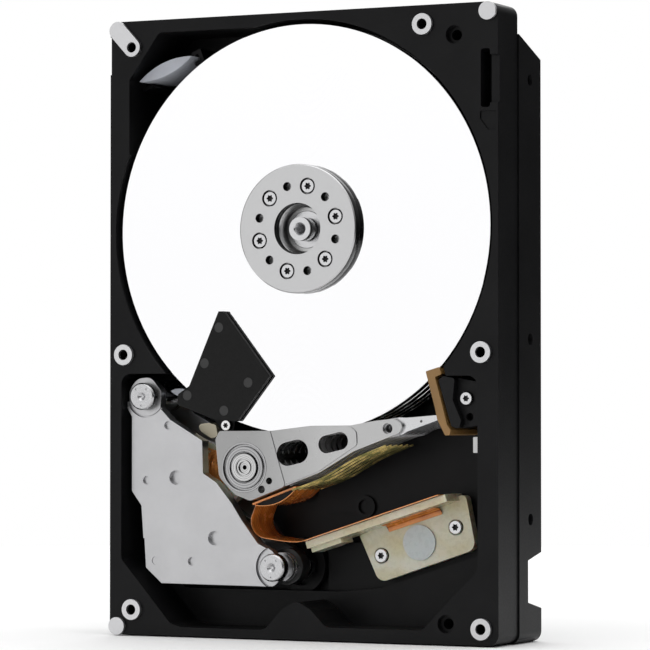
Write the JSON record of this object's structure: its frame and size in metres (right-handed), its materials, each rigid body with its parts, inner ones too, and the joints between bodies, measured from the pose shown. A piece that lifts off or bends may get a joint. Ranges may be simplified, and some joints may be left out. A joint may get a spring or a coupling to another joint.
{
  "type": "hard disk drive",
  "caption": "Open hard disk drive: black casting, mirror disks on a spindle, a swinging arm stack with heads, magnet plates, cable, ramp and circuit board.",
  "frame": {"origin": "middle of the lowest face, as the drive stands on its connector end", "axes": "+Z from the connector end to the spindle end, -Y out of the open side, +X to the right as one looks into the open side"},
  "size_m": [0.1016, 0.0254, 0.147],
  "materials": {
    "coated_casting": "satin black coat, bare metal where it is machined",
    "polished_steel": "smooth turned steel",
    "nickel_steel": "matt nickel plate",
    "clamp_steel": "fine satin",
    "copper_wire": "enamelled wire",
    "polyimide": "glossy film over copper",
    "magnet_plate": "bright nickel plate",
    "magnet_black": "matt coated magnet",
    "stop_rubber": "matt",
    "amber_plastic": "satin",
    "dark_plastic": "satin",
    "damper_plastic": "matt",
    "filter_felt": "fibrous",
    "cream_plastic": "translucent",
    "white_plastic": "matt",
    "board_laminate": "solder mask",
    "foam": "matt",
    "gold_contact": "gold plate",
    "chip_epoxy": "matt moulded epoxy",
    "ceramic": "matt with bright ends",
    "ceramic_slider": "lapped ceramic",
    "arm_aluminium": "smooth machined",
    "disk_mirror": "polished mirror"
  },
  "bodies": {
    "base": {"base_casting": "coated_casting", "spindle_shaft": "polished_steel", "stator_core": "nickel_steel", "stator_windings": "copper_wire", "motor_flex": "polyimide", "pivot_shaft": "polished_steel", "pivot_inner_races": "polished_steel", "lower_yoke": "nickel_steel", "lower_magnet": "magnet_plate", "upper_magnet": "magnet_plate", "upper_yoke": "nickel_steel", "yoke_posts": "polished_steel", "yoke_pins": "polished_steel", "crash_stops": "stop_rubber", "load_ramp": "amber_plastic", "ramp_carrier": "dark_plastic", "ramp_screw": "polished_steel", "disk_damper": "damper_plastic", "damper_screw": "polished_steel", "corner_filter": "filter_felt", "side_filter": "filter_felt", "flex_bracket": "cream_plastic", "flex_bracket_screws": "polished_steel", "flex_connector": "dark_plastic", "wall_pad": "white_plastic", "flex_loop": "polyimide", "circuit_board": "board_laminate", "board_screws": "polished_steel", "board_foam": "foam", "sata_connector": "dark_plastic", "sata_contacts": "gold_contact", "controller_chip": "chip_epoxy", "cache_chip": "chip_epoxy", "motor_driver_chip": "chip_epoxy", "board_passives": "ceramic", "latch_pin": "polished_steel"},
    "actuator": {"arm_block": "arm_aluminium", "pivot_sleeve": "nickel_steel", "pivot_outer_races": "polished_steel", "pivot_balls": "polished_steel", "voice_coil": "copper_wire", "coil_frame": "cream_plastic", "swage_plates": "nickel_steel", "load_beams": "polished_steel", "head_sliders": "ceramic_slider", "head_traces": "gold_contact", "arm_flex_panel": "polyimide", "preamp_chip": "chip_epoxy"},
    "spindle": {"spindle_hub": "arm_aluminium", "bearing_sleeve": "polished_steel", "rotor_magnet": "magnet_black", "disk_1": "disk_mirror", "disk_2": "disk_mirror", "disk_3": "disk_mirror", "disk_4": "disk_mirror", "disk_5": "disk_mirror", "spacer_rings": "polished_steel", "disk_clamp": "clamp_steel", "clamp_screws": "polished_steel"},
    "latch": {"parking_latch": "dark_plastic"}
  },
  "joints": [
    {"name": "spindle_spin", "type": "hinge", "parent": "base", "child": "spindle", "pos_m": [0, 0, 0.096], "axis": [0, -1, 0], "continuous": true},
    {"name": "actuator_swing", "type": "hinge", "parent": "base", "child": "actuator", "pos_m": [-0.0142, 0, 0.0403], "axis": [0, -1, 0], "range_deg": [0, 42], "deforming": ["flex_loop"]},
    {"name": "latch_swing", "type": "hinge", "parent": "base", "child": "latch", "pos_m": [-0.0386, -0.0003, 0.0176], "axis": [0, -1, 0], "range_deg": [-9, 0]}
  ]
}
